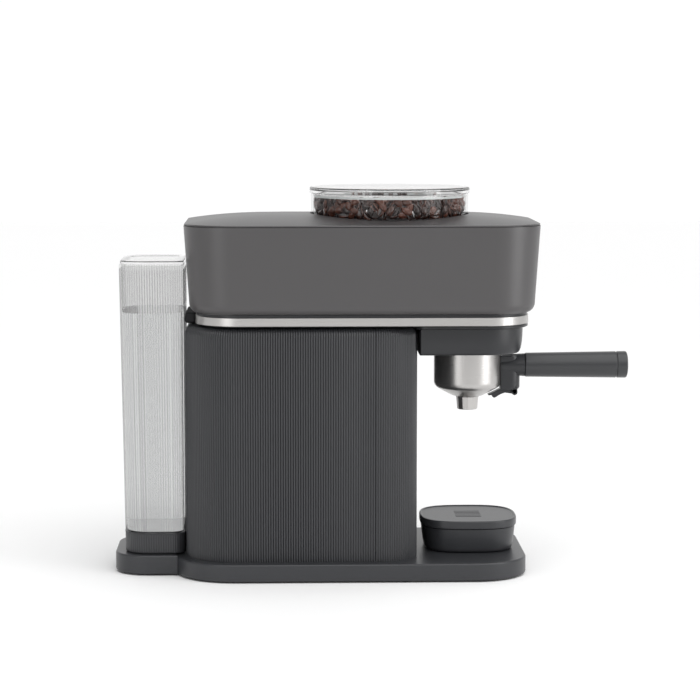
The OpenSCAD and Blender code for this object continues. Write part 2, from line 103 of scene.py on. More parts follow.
def noise(tree, place, size_mm, detail=2.0):
    """A noise pattern whose cells are about the given size."""
    pattern = add_node(tree, "ShaderNodeTexNoise", inputs={"Scale": 1.0 / (size_mm * MM), "Detail": detail},
                       links={"Vector": place})
    return pattern.outputs["Fac"]


def between(tree, pattern, low, high):
    """A number that goes from low to high with a pattern."""
    reach = add_node(tree, "ShaderNodeMapRange", inputs={"To Min": low, "To Max": high},
                     links={"Value": pattern})
    return reach.outputs["Result"]


def blend(tree, pattern, first, second):
    """A colour that goes from the first to the second with a pattern."""
    mix = add_node(tree, "ShaderNodeMix", {"data_type": "RGBA"}, {"A": opaque(first), "B": opaque(second)},
                   {"Factor": pattern})
    return mix.outputs["Result"]


def relief(tree, pattern, strength, depth_mm):
    """Normals that follow a pattern as if it were that deep."""
    bump = add_node(tree, "ShaderNodeBump", inputs={"Strength": strength, "Distance": depth_mm * MM},
                    links={"Height": pattern})
    return bump.outputs["Normal"]


def steady(tree, colour):
    """A colour that stays the same all over."""
    node = add_node(tree, "ShaderNodeRGB")
    node.outputs["Color"].default_value = opaque(colour)
    return node.outputs["Color"]


# ---------- materials ----------

def painted_valley_shade(tree, colour_output, dark):
    """Multiplies a colour down in the grooves between ribs: painted shade where light doesn't reach."""
    depth = add_node(tree, "ShaderNodeAttribute", {"attribute_name": "valley"})
    shade = add_node(tree, "ShaderNodeMix", {"data_type": "RGBA", "blend_type": "MULTIPLY"},
                     {"B": (dark, dark, dark, 1.0)}, {"Factor": depth.outputs["Fac"], "A": colour_output})
    return shade.outputs["Result"]


def moulded_plastic(name, colour, grain_mm=0.9, roughness=0.5, grain=0.2, specular=0.5):
    """Spark-textured ABS: a fine pebbled grain breaks the highlight up, and the tone drifts a little."""
    material, tree, place = start_material(name)
    pebbles = noise(tree, place, grain_mm, 3.0)
    tone = blend(tree, noise(tree, place, 60.0), [c * 0.94 for c in colour], [c * 1.06 for c in colour])
    # The base colour carries painted shade in the rib valleys.
    shader = add_node(tree, "ShaderNodeBsdfPrincipled", inputs={"IOR": 1.5, "Specular IOR Level": specular},
                      links={"Base Color": painted_valley_shade(tree, tone, 0.35),
                             "Roughness": between(tree, pebbles, roughness - 0.05, roughness + 0.05),
                             "Normal": relief(tree, pebbles, grain, 0.05)})
    end_material(tree, shader)
    return material


def lets_light_in(tree, shader, share):
    """Lets lamps shine through a clear shader, so that what is behind it is lit and its shadow is pale."""
    path = add_node(tree, "ShaderNodeLightPath")
    clear = add_node(tree, "ShaderNodeBsdfTransparent", inputs={"Color": (share, share, share, 1.0)})
    return add_node(tree, "ShaderNodeMixShader",
                    links={0: path.outputs["Is Shadow Ray"], 1: shader.outputs[0], 2: clear.outputs[0]})


def melt_haze(tree, place, roughness):
    """Roughness that drifts with the flow of the melt in the mould."""
    return between(tree, noise(tree, place, 30.0, 1.0), roughness * 0.6, roughness * 1.4)


def clear_plastic(name, colour):
    """Thick copolyester: clear and smooth, and it bends what is seen through it."""
    material, tree, place = start_material(name)
    # The base colour carries painted shade in the rib valleys.
    shader = add_node(tree, "ShaderNodeBsdfPrincipled", inputs={"IOR": 1.5, "Transmission Weight": 1.0},
                      links={"Base Color": painted_valley_shade(tree, steady(tree, colour), 0.55),
                             "Roughness": melt_haze(tree, place, 0.03)})
    end_material(tree, lets_light_in(tree, shader, 0.9))
    return material


def thin_clear_plastic(name, colour, valley_shade, sheen):
    """A thin clear wall: it hardly bends what is behind it, and shines more at a glancing look."""
    material, tree, place = start_material(name)
    # The colour seen through the wall carries painted shade in the rib valleys.
    through = add_node(tree, "ShaderNodeBsdfTransparent",
                       links={"Color": painted_valley_shade(tree, steady(tree, colour), valley_shade)})
    shine = add_node(tree, "ShaderNodeBsdfGlossy", links={"Roughness": melt_haze(tree, place, 0.05)})
    glance = add_node(tree, "ShaderNodeFresnel", inputs={"IOR": 1.35})
    side = add_node(tree, "ShaderNodeNewGeometry")
    # Only the side that faces the look shines, so the wall never acts as a mirror from inside
    outside = add_node(tree, "ShaderNodeMath", {"operation": "MULTIPLY_ADD"}, {1: -sheen, 2: sheen},
                       {0: side.outputs["Backfacing"]})
    amount = add_node(tree, "ShaderNodeMath", {"operation": "MULTIPLY", "use_clamp": True},
                      links={0: glance.outputs["Fac"], 1: outside.outputs["Value"]})
    shader = add_node(tree, "ShaderNodeMixShader",
                      links={0: amount.outputs["Value"], 1: through.outputs[0], 2: shine.outputs[0]})
    end_material(tree, lets_light_in(tree, shader, 0.9))
    return material


def brushed_steel(name, colour, along, roughness=0.3, line_mm=0.35):
    """Stainless steel brushed one way: long fine scratches that stretch the highlight across them."""
    material, tree, place = start_material(name)
    squeeze = [0.02 if axis in along else 1.0 for axis in "XYZ"]
    stretch = add_node(tree, "ShaderNodeMapping", inputs={"Scale": squeeze}, links={"Vector": place})
    lines = noise(tree, stretch.outputs["Vector"], line_mm)
    shader = add_node(tree, "ShaderNodeBsdfPrincipled", inputs={"Base Color": opaque(colour), "Metallic": 1.0},
                      links={"Roughness": between(tree, lines, roughness - 0.08, roughness + 0.1),
                             "Normal": relief(tree, lines, 0.15, 0.02)})
    end_material(tree, shader)
    return material


def plain_metal(name, colour, grain_mm, roughness):
    """Cast or turned metal: a soft sheen with the small pits that the mould or the tool leaves."""
    material, tree, place = start_material(name)
    pits = noise(tree, place, grain_mm, 3.0)
    shader = add_node(tree, "ShaderNodeBsdfPrincipled", inputs={"Base Color": opaque(colour), "Metallic": 1.0},
                      links={"Roughness": between(tree, pits, roughness - 0.06, roughness + 0.08),
                             "Normal": relief(tree, pits, 0.25, 0.08)})
    end_material(tree, shader)
    return material


def roasted_bean(name, dark, light):
    """Medium roast coffee: oily brown skin whose tone changes from bean to bean, and painted shade darkens the
    crease.
    """
    material, tree, place = start_material(name)
    tint = add_node(tree, "ShaderNodeAttribute", {"attribute_name": "roast"})
    skin = noise(tree, place, 2.2, 4.0)
    depth = add_node(tree, "ShaderNodeMath", {"operation": "MULTIPLY_ADD", "use_clamp": True}, {1: 0.35},
                     {0: skin, 2: tint.outputs["Fac"]})
    shader = add_node(tree, "ShaderNodeBsdfPrincipled",
                      inputs={"Roughness": 0.3, "Coat Weight": 0.6, "Coat Roughness": 0.12},
                      links={"Base Color": blend(tree, depth.outputs["Value"], dark, light),
                             "Normal": relief(tree, skin, 0.3, 0.15)})
    end_material(tree, shader)
    return material


def painted_studio(name, colour):
    """Matt white paint with the faintest unevenness."""
    material, tree, place = start_material(name)
    tone = blend(tree, noise(tree, place, 500.0), [c * 0.995 for c in colour], colour)
    shader = add_node(tree, "ShaderNodeBsdfPrincipled", inputs={"Roughness": 0.9, "Specular IOR Level": 0.1},
                      links={"Base Color": tone})
    end_material(tree, shader)
    return material


def still_water(name):
    """Still tap water, with a slow swell in its body."""
    material, tree, place = start_material(name)
    shader = add_node(tree, "ShaderNodeBsdfPrincipled",
                      inputs={"Base Color": (0.95, 0.96, 0.96, 1.0), "Roughness": 0.0, "IOR": 1.33,
                              "Transmission Weight": 1.0},
                      links={"Normal": relief(tree, noise(tree, place, 40.0), 0.05, 0.2)})
    end_material(tree, lets_light_in(tree, shader, 0.95))
    return material


# Each finish: its maker, the material's name, and the settings. The record's slots come first
FINISHES = {
    "charcoal_plastic": (moulded_plastic, "moulded_charcoal_abs",
                         {"colour": linear("#3f3d3e"), "roughness": 0.38, "specular": 0.75}),
    "column_plastic": (moulded_plastic, "moulded_ribbed_abs", {"colour": linear("#37383b"), "roughness": 0.38}),
    "tray_plastic": (moulded_plastic, "moulded_tray_abs",
                     {"colour": linear("#313235"), "roughness": 0.36, "grain_mm": 1.4, "grain": 0.5}),
    "black_plastic": (moulded_plastic, "moulded_black_nylon", {"colour": linear("#222326"), "roughness": 0.34}),
    "handle_plastic": (moulded_plastic, "moulded_satin_nylon",
                       {"colour": linear("#323335"), "roughness": 0.34}),
    "clear_plastic": (clear_plastic, "moulded_clear_copolyester", {"colour": linear("#f2f2f2")}),
    "brushed_steel": (brushed_steel, "brushed_stainless_steel", {"colour": linear("#bdbbb9"), "along": "XY"}),
    "zinc_steel": (plain_metal, "turned_zinc_steel",
                   {"colour": linear("#b9babd"), "grain_mm": 0.8, "roughness": 0.35}),
    "cast_aluminium": (plain_metal, "cast_aluminium",
                       {"colour": linear("#c3c5c8"), "grain_mm": 1.6, "roughness": 0.45}),
    "brass": (plain_metal, "turned_brass", {"colour": linear("#d2ab5c"), "grain_mm": 0.9, "roughness": 0.3}),
    "black_rubber": (moulded_plastic, "moulded_black_rubber", {"colour": linear("#202022"), "roughness": 0.8}),
    "clear_silicone": (moulded_plastic, "moulded_milky_silicone",
                       {"colour": linear("#d9dddc"), "roughness": 0.4}),
    "white_plastic": (moulded_plastic, "moulded_white_abs", {"colour": linear("#d4d4d2"), "roughness": 0.35}),
    "circuit_board": (moulded_plastic, "lacquered_circuit_board",
                      {"colour": linear("#2b5a38"), "roughness": 0.3}),
    # The tank wall's rib valleys are darkened: painted shade.
    "tank_wall": (thin_clear_plastic, "ribbed_copolyester",
                  {"colour": linear("#f3f3f3"), "valley_shade": 0.8, "sheen": 0.8}),
    "hopper_wall": (thin_clear_plastic, "thin_copolyester",
                    {"colour": linear("#f8f8f8"), "valley_shade": 1.0, "sheen": 0.7}),
    "roasted_coffee": (roasted_bean, "roasted_coffee", {"dark": linear("#210d08"), "light": linear("#7d4733")}),
    "still_water": (still_water, "still_water", {}),
}


def finish_of(finish):
    """The material of a finish, made once."""
    maker, name, settings = FINISHES[finish]
    return bpy.data.materials.get(name) or maker(name, **settings)


# ---------- mesh helpers ----------

def rescale(bm, factor):
    bmesh.ops.scale(bm, vec=(factor, factor, factor), verts=bm.verts)


def finish_piece(bm, name, slot, body, replaces=(), finish=None, sharp_deg=40.0):
    """Makes the object of a bmesh in mm, smooths it, gives it the finish or else the slot's finish, ties it to
    its body and hides the CAD nodes it replaces.
    """
    rescale(bm, MM)
    bmesh.ops.remove_doubles(bm, verts=bm.verts, dist=1e-6)
    bmesh.ops.recalc_face_normals(bm, faces=bm.faces)
    mesh = bpy.data.meshes.new(name)
    bm.to_mesh(mesh)
    bm.free()
    mesh.shade_smooth()
    mesh.set_sharp_from_angle(angle=math.radians(sharp_deg))
    piece = bpy.data.objects.new(name, mesh)
    bpy.context.scene.collection.objects.link(piece)
    mesh.materials.append(finish_of(finish or slot))
    even = piece.modifiers.new("even_normals", "WEIGHTED_NORMAL")
    even.keep_sharp = True
    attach(piece, body)
    if replaces:
        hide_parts(*replaces)


def plan_face(bm, rear, front, width, r_rear, r_front, z, step_mm):
    """One flat face in mm: a rectangle in plan whose corners are round. step_mm sets its point spacing."""
    for v in bmesh.ops.create_grid(bm, x_segments=1, y_segments=1, size=0.5)["verts"]:
        v.co = Vector((rear if v.co.x < 0 else front, math.copysign(width / 2, v.co.y), z))
    middle = (rear + front) / 2
    for radius, at_front in ((r_rear, False), (r_front, True)):
        corners = [v for v in bm.verts if (v.co.x > middle) == at_front]
        bmesh.ops.bevel(bm, geom=corners, offset=radius, offset_type="OFFSET",
                        segments=max(6, round(radius * math.pi / 2 / step_mm)), profile=0.5,
                        affect="VERTICES", material=-1)
    for edge in [e for e in bm.edges if e.calc_length() > 2.5 * step_mm]:
        bmesh.ops.subdivide_edges(bm, edges=[edge], cuts=round(edge.calc_length() / step_mm) - 1)
    return bm.faces[:][0]


def superellipse_face(bm, centre_x, half_x, half_y, power, z, points=144):
    """One flat face in mm whose outline is a squircle."""
    ring = bmesh.ops.create_circle(bm, cap_ends=True, segments=points, radius=1.0)["verts"]
    for v in ring:
        c, s = v.co.x, v.co.y
        v.co = Vector((centre_x + half_x * math.copysign(abs(c) ** (2 / power), c),
                       half_y * math.copysign(abs(s) ** (2 / power), s), z))
    return bm.faces[:][0]


def extruded(bm, edges):
    """Extrudes an outline where it stands, and gives the new outline's points and edges."""
    made = bmesh.ops.extrude_edge_only(bm, edges=edges)["geom"]
    verts = {g for g in made if isinstance(g, bmesh.types.BMVert)}
    return verts, [g for g in made if isinstance(g, bmesh.types.BMEdge) and set(g.verts) <= verts]


class Rings:
    """Stacks rings over a flat face's outline: each one is drawn in by a distance and set at a height."""

    def __init__(self, bm, face, rib_pitch=0.0, rib_depth=0.0):
        self.bm = bm
        self.home = bm.verts.layers.float_vector.new("home")
        self.out = bm.verts.layers.float_vector.new("out")
        self.valley = bm.verts.layers.float.new("valley")
        self.rib_depth = rib_depth
        if face.normal.z < 0:
            face.normal_flip()
        loop = [corner.vert for corner in face.loops]
        count = len(loop)
        run = 0.0
        places = []
        for i, v in enumerate(loop):
            places.append(run)
            run += (loop[(i + 1) % count].co - v.co).length
        ribs = round(run / rib_pitch) if rib_pitch else 0
        for i, v in enumerate(loop):
            ahead = (loop[(i + 1) % count].co - v.co).normalized()
            behind = (v.co - loop[i - 1].co).normalized()
            tangent = (ahead + behind).normalized()
            v[self.home] = v.co
            height = rib_depth * (abs(math.cos(math.pi * places[i] * ribs / run)) - 1) if ribs else 0.0
            v[self.out] = Vector((tangent.y, -tangent.x, height))
        self.edges = list(face.edges)
        self.low_face = face

    def set_ring(self, verts, inset, z, rib=1.0, shape=None):
        for v in verts:
            home, out = v[self.home], v[self.out]
            reach = out.z * rib - inset
            v.co = Vector((home.x + out.x * reach, home.y + out.y * reach, z))
            # The valley depth: the materials use it as a mask for painted shade in the rib grooves.
            v[self.valley] = -out.z * rib / self.rib_depth if self.rib_depth else 0.0
            if shape:
                v.co = shape(v.co)

    def start(self, inset, z, rib=1.0, shape=None):
        self.set_ring({v for e in self.edges for v in e.verts}, inset, z, rib, shape)

    def add(self, inset, z, rib=1.0, shape=None):
        """Extrudes the last outline into a new ring and places it."""
        verts, self.edges = extruded(self.bm, self.edges)
        self.set_ring(verts, inset, z, rib, shape)

    def stack(self, base_z, steps, rib=1.0, shape=None):
        """Adds a ring for each pair of an inset and a height above base_z."""
        for inset, rise in steps:
            self.add(inset, base_z + rise, rib, shape)

    def corner(self, z, radius, steps):
        """A round upper edge: rings from the wall over to the flat above it."""
        for i in range(1, steps + 1):
            angle = math.pi / 2 * i / steps
            self.add(radius * (1 - math.cos(angle)), z + radius * math.sin(angle))

    def cap(self):
        bmesh.ops.contextual_create(self.bm, geom=self.edges)

    def drop_start_face(self):
        bmesh.ops.delete(self.bm, geom=[self.low_face], context="FACES_ONLY")


def arc(cx, cz, radius, start_deg, end_deg, steps):
    """Points of an arc, as pairs."""
    turn = [math.radians(start_deg + (end_deg - start_deg) * i / steps) for i in range(steps + 1)]
    return [(cx + radius * math.cos(a), cz + radius * math.sin(a)) for a in turn]


def lathe(bm, points, centre, axis="Z", steps=96, closed=False):
    """Spins a profile of (radius, height) points about an axis through centre, in mm."""
    place = {"Z": lambda r, h: Vector((r, 0, h)), "X": lambda r, h: Vector((h, 0, r))}[axis]
    turn = {"Z": (0, 0, 1), "X": (1, 0, 0)}[axis]
    verts = [bm.verts.new(Vector(centre) + place(r, h)) for r, h in points]
    pairs = list(zip(verts, verts[1:])) + ([(verts[-1], verts[0])] if closed else [])
    edges = [bm.edges.new(pair) for pair in pairs]
    bmesh.ops.spin(bm, geom=verts + edges, cent=centre, axis=turn, dvec=(0, 0, 0), angle=2 * math.pi,
                   steps=steps, use_merge=True)
    bmesh.ops.remove_doubles(bm, verts=bm.verts, dist=1e-4)


def soft_block(bm, low, high, radius, segments=3):
    """A box in mm between two corners, with every edge rounded."""
    made = bmesh.ops.create_cube(bm, size=1.0)["verts"]
    middle = (Vector(low) + Vector(high)) / 2
    size = Vector(high) - Vector(low)
    for v in made:
        v.co = Vector([middle[i] + v.co[i] * size[i] for i in range(3)])
    edges = list({e for v in made for e in v.link_edges})
    bmesh.ops.bevel(bm, geom=edges, offset=radius, offset_type="OFFSET", segments=segments, profile=0.5,
                    affect="EDGES", material=-1)


def cut_away(bm, tool):
    """Takes the tool's solid away from a closed bmesh, both in mm. The cut itself is made in metres."""
    solids = []
    for source, name in ((bm, "cut_target"), (tool, "cut_tool")):
        rescale(source, MM)
        bmesh.ops.recalc_face_normals(source, faces=source.faces)
        mesh = bpy.data.meshes.new(name)
        source.to_mesh(mesh)
        solids.append(bpy.data.objects.new(name, mesh))
        bpy.context.scene.collection.objects.link(solids[-1])
    cut = solids[0].modifiers.new("cut", "BOOLEAN")
    cut.operation = "DIFFERENCE"
    cut.solver = "EXACT"
    cut.object = solids[1]
    result = solids[0].evaluated_get(bpy.context.evaluated_depsgraph_get()).to_mesh()
    bm.clear()
    bm.from_mesh(result)
    rescale(bm, 1 / MM)
    tool.free()
    for solid in solids:
        mesh = solid.data
        bpy.data.objects.remove(solid)
        bpy.data.meshes.remove(mesh)


def box_mm(node):
    """A CAD node's lowest and highest corners in mm."""
    low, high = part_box(node)
    return low / MM, high / MM


# ---------- settings ----------

class EspressoSizes(bpy.types.PropertyGroup):
    """Sizes of the surface detail, in millimetres."""
    column_rib_pitch: FloatProperty(name="Column rib pitch", description="Between two ribs, mm", default=2.23)
    column_rib_depth: FloatProperty(name="Column rib depth", description="Depth of a valley, mm", default=0.9)
    tank_rib_pitch: FloatProperty(name="Tank rib pitch", description="Between tank ribs, mm", default=2.37)
    tank_rib_depth: FloatProperty(name="Tank rib depth", description="Depth of the valleys, mm", default=0.28)
    hood_edge: FloatProperty(name="Hood edge", description="Radius of the hood's lower edge, mm", default=9.0)
    base_edge: FloatProperty(name="Base edge", description="Radius of the base's upper edge, mm", default=1.7)
    water_level: FloatProperty(name="Water level", description="Height of the water, mm", default=237.5)
    hopper_sink: FloatProperty(name="Hopper seat", description="Depth below the crown, mm", default=5.0)
    beans: IntProperty(name="Top beans", description="Beans on the top layer", default=170)


class EspressoStudio(bpy.types.PropertyGroup):
    """The studio around the machine."""
    floor: FloatVectorProperty(name="Floor", description="Floor colour", subtype="COLOR",
                               default=linear("#fcfcfc"))
    distance: FloatProperty(name="Camera distance", description="From the lens to the machine", default=2.152,
                            unit="LENGTH")
    lens: FloatProperty(name="Lens", description="Focal length in mm", default=120.3)
    overhead: FloatProperty(name="Overhead light", description="Strength of the silk above", default=1.75)
    dim_side: FloatProperty(name="Dim side", description="Brightness of the room's darker side", default=0.42)


def sizes():
    return bpy.context.scene.espresso_sizes


def studio():
    return bpy.context.scene.espresso_studio


# ---------- pieces ----------

class ESPRESSO_OT_base(bpy.types.Operator):
    """Low base plate, tank foot and rubber feet"""
    bl_idname = "espresso.base"
    bl_label = "Base"

    def execute(self, context):
        low, high = box_mm("base_plate")
        edge = sizes().base_edge
        plate_corners = (56, 48)
        lower_edge = ((0.3, 0.4), (0, 1.4))
        bm = bmesh.new()
        rings = Rings(bm, plan_face(bm, low.x, high.x, high.y - low.y, *plate_corners, low.z, step_mm=4))
        rings.start(1.2, low.z)
        rings.stack(low.z, lower_edge)
        rings.add(0, high.z - edge)
        rings.corner(high.z - edge, edge, 6)
        rings.cap()
        finish_piece(bm, "base_plate_moulding", "tray_plastic", "machine", ["base_plate"])

        foot_low, foot_high = box_mm("tank_foot")
        foot_edge, seam, tongue_y = 1.6, 0.35, 46
        bm = bmesh.new()
        face = plan_face(bm, foot_low.x, low.x + 40, foot_high.y - foot_low.y, 30, 3, foot_low.z, step_mm=3)
        rings = Rings(bm, face)
        rings.start(1.2, foot_low.z)
        rings.stack(foot_low.z, lower_edge)
        rings.add(0, foot_high.z - foot_edge)
        rings.corner(foot_high.z - foot_edge, foot_edge, 5)
        rings.cap()
        room = bmesh.new()
        face = plan_face(room, low.x - seam, high.x, high.y - low.y, *plate_corners, low.z - 5, step_mm=3)
        upright = Rings(room, face)
        upright.add(0, foot_high.z + 5)
        upright.cap()
        cut_away(bm, room)
        soft_block(bm, (low.x - 3, -tongue_y, foot_low.z + 1), (low.x + 8, tongue_y, foot_high.z - 4), 0.5)
        finish_piece(bm, "tank_foot_moulding", "tray_plastic", "machine", ["tank_foot"])

        bm = bmesh.new()
        pad = [(0, 0), (7.8, 0), (8.6, 0.3), (9, 0.9), (9, 2.9), (0, 2.9)]
        for x, y in ((-120, 62), (85, 62), (-216, 30)):
            for side in (-1, 1):
                lathe(bm, pad, (x, side * y, 0), steps=40)
        finish_piece(bm, "rubber_feet_moulded", "black_rubber", "machine", ["rubber_feet"])
        return {"FINISHED"}


class ESPRESSO_OT_column(bpy.types.Operator):
    """Ribbed column: rear shell and front cover, with the seam between them"""
    bl_idname = "espresso.column"
    bl_label = "Ribbed column"

    def execute(self, context):
        rear = box_mm("column_shell")[0]
        front = box_mm("column_front_cover")[1]
        pitch = sizes().column_rib_pitch
        shoulder, half_seam = 8.5, 0.25
        for name, node, keep_front in (("column_shell_ribbed", "column_shell", False),
                                       ("column_front_ribbed", "column_front_cover", True)):
            bm = bmesh.new()
            face = plan_face(bm, rear.x, front.x, front.y - rear.y, 46, 34, rear.z, step_mm=pitch / 6)
            rings = Rings(bm, face, pitch, sizes().column_rib_depth)
            rings.start(0, rear.z)
            rings.drop_start_face()
            rings.add(0, rear.z + 100)
            rings.add(0, front.z - shoulder)
            rings.corner(front.z - shoulder, shoulder, 8)
            rings.add(11, front.z, rib=0.3)
            rings.add(14, front.z, rib=0)
            rings.cap()
            cut = bmesh.ops.bisect_plane(bm, geom=bm.verts[:] + bm.edges[:] + bm.faces[:],
                                         plane_co=(half_seam if keep_front else -half_seam, 0, 0),
                                         plane_no=(1, 0, 0), clear_inner=keep_front, clear_outer=not keep_front)
            rim = [g for g in cut["geom_cut"] if isinstance(g, bmesh.types.BMEdge)]
            for v in extruded(bm, rim)[0]:      # a lip turned inwards closes the seam
                v.co.y *= 0.965
                v.co.z = min(v.co.z, front.z - 2.2)
            finish_piece(bm, name, "column_plastic", "machine", [node])
        return {"FINISHED"}


class ESPRESSO_OT_hood(bpy.types.Operator):
    """Tapered hood shell and its softly domed top cover"""
    bl_idname = "espresso.hood"
    bl_label = "Hood"

    def execute(self, context):
        low, high = box_mm("hood_shell")
        cover = box_mm("hood_top_cover")[1]
        edge, taper, corner_r, brow = sizes().hood_edge, 4.6, 44, 1.5
        width = high.y - low.y
        bm = bmesh.new()
        rings = Rings(bm, plan_face(bm, low.x, high.x, width, corner_r, corner_r, low.z, step_mm=4))
        rings.start(taper + edge + 8, low.z)
        for i in range(8):
            angle = math.pi / 2 * (1 - i / 8)
            rings.add(taper + edge * (1 - math.cos(angle)), low.z + edge * (1 - math.sin(angle)))
        for step in range(0, 6):
            share = step / 5
            rings.add(taper * (1 - share), low.z + edge + (high.z - 1.0 - low.z - edge) * share)
        rings.stack(high.z, ((0.15, -0.3), (0.9, 0), (3.0, 0), (3.2, -6)))
        rings.cap()
        finish_piece(bm, "hood_shell_moulding", "charcoal_plastic", "machine", ["hood_shell"])

        bm = bmesh.new()
        top, edge_z = cover.z, high.z + brow
        face = plan_face(bm, low.x + 0.3, high.x - 0.3, width - 0.6, corner_r, corner_r, high.z, step_mm=4)
        rings = Rings(bm, face)
        rings.start(1.2, high.z - 1.5)
        rings.stack(high.z, ((1.2, 0.35), (0.1, 0.4), (0.0, 0.8), (0.5, brow)))
        spine_reach = 88.0

        def dome(share):
            """Draws a ring towards the spine and lifts it, slowly at the ends and quickly at the sides."""
            def shape(co):
                spine_x = min(max(co.x, low.x + spine_reach), high.x - spine_reach)
                away = co - Vector((spine_x, 0, 0))
                ends = abs(away.x) / max(math.hypot(away.x, away.y), 1e-6)
                fall = 0.85 + 0.15 * ends
                rise = (top - edge_z) * (1 - max(0.0, 1 - share / fall) ** 2.2)
                return Vector((co.x + (spine_x - co.x) * share, co.y * (1 - share), edge_z + rise))
            return shape

        for i in range(1, 15):
            rings.add(0.5, edge_z, shape=dome(0.95 * (i / 14) ** 1.25))
        rings.cap()
        lid_low, lid_high = box_mm("hopper_lid")
        seat = bmesh.new()
        radius, depth = (lid_high.x - lid_low.x) / 2 - 0.4, 40
        centre = ((lid_low.x + lid_high.x) / 2, 0, top - sizes().hopper_sink + depth / 2)
        bmesh.ops.create_cone(seat, cap_ends=True, segments=128, radius1=radius, radius2=radius, depth=depth,
                              matrix=Matrix.Translation(centre))
        cut_away(bm, seat)
        finish_piece(bm, "hood_top_moulding", "charcoal_plastic", "machine", ["hood_top_cover"])
        return {"FINISHED"}


class ESPRESSO_OT_steel_band(bpy.types.Operator):
    """Brushed steel band under the hood, and the rubber bumper that steadies the tank"""
    bl_idname = "espresso.steel_band"
    bl_label = "Steel band"

    def execute(self, context):
        low, high = box_mm("steel_band")
        bm = bmesh.new()
        rings = Rings(bm, plan_face(bm, low.x, high.x, high.y - low.y, 41, 41, low.z, step_mm=4))
        rings.start(1.2, low.z)
        rings.stack(low.z, ((0.3, 0), (0, 0.3)))
        rings.stack(high.z, ((0, -0.3), (0.3, 0), (1.2, 0)))
        rings.cap()
        finish_piece(bm, "steel_band_brushed", "brushed_steel", "machine", ["steel_band"])

        low, high = box_mm("tank_bumper")
        bm = bmesh.new()
        soft_block(bm, low, high, 2.5, segments=4)
        finish_piece(bm, "tank_bumper_moulding", "black_rubber", "machine", ["tank_bumper"])
        return {"FINISHED"}


class ESPRESSO_OT_brew_head(bpy.types.Operator):
    """Brew head housing with the round opening for the portafilter"""
    bl_idname = "espresso.brew_head"
    bl_label = "Brew head"

    def execute(self, context):
        low, high = box_mm("brew_head_housing")
        ring = box_mm("bayonet_ring")
        centre = (ring[0] + ring[1]) / 2
        bore, bore_depth = 42.0, 15
        bm = bmesh.new()

        def square_rear(co):
            """The rear side stands straight against the column."""
            return Vector((low.x + (co.x - low.x) * 0.2, co.y, co.z)) if co.x < low.x + 12 else co

        rings = Rings(bm, plan_face(bm, low.x, high.x - 5, 120, 10, 36, low.z, step_mm=3))
        rings.start(4.6, low.z, shape=square_rear)
        rings.drop_start_face()
        mouth_edges = list(rings.edges)
        side = ((3.7, 0.4), (3.0, 1.1), (2.3, 2.3), (1.6, 4.2), (1.0, 6.8), (0.5, 10.5), (0.1, 16), (0, 23.6))
        rings.stack(low.z, side, shape=square_rear)
        rings.stack(low.z, ((-3.2, 23.9), (-4.6, 24.6), (-4.6, 26.6), (-3.4, 27.6), (6, 27.6)))
        rings.cap()
        circle = bmesh.ops.create_circle(bm, cap_ends=False, segments=96, radius=bore,
                                         matrix=Matrix.Translation((centre.x, 0, low.z)))["verts"]
        rim = list({e for v in circle for e in v.link_edges})
        bmesh.ops.triangle_fill(bm, use_beauty=True, use_dissolve=False, edges=mouth_edges + rim)
        wall_verts, wall_edges = extruded(bm, rim)
        bmesh.ops.translate(bm, verts=list(wall_verts), vec=(0, 0, bore_depth))
        bmesh.ops.contextual_create(bm, geom=wall_edges)
        finish_piece(bm, "brew_head_moulding", "black_plastic", "machine", ["brew_head_housing"])

        bm = bmesh.new()
        lathe(bm, [(31.6, 201), (40.6, 201), (41, 201.4), (41, 206.2), (40.6, 206.6), (31.6, 206.6)],
              (centre.x, 0, 0), closed=True)
        finish_piece(bm, "bayonet_ring_cast", "cast_aluminium", "bayonet_ring", ["bayonet_ring"])
        return {"FINISHED"}


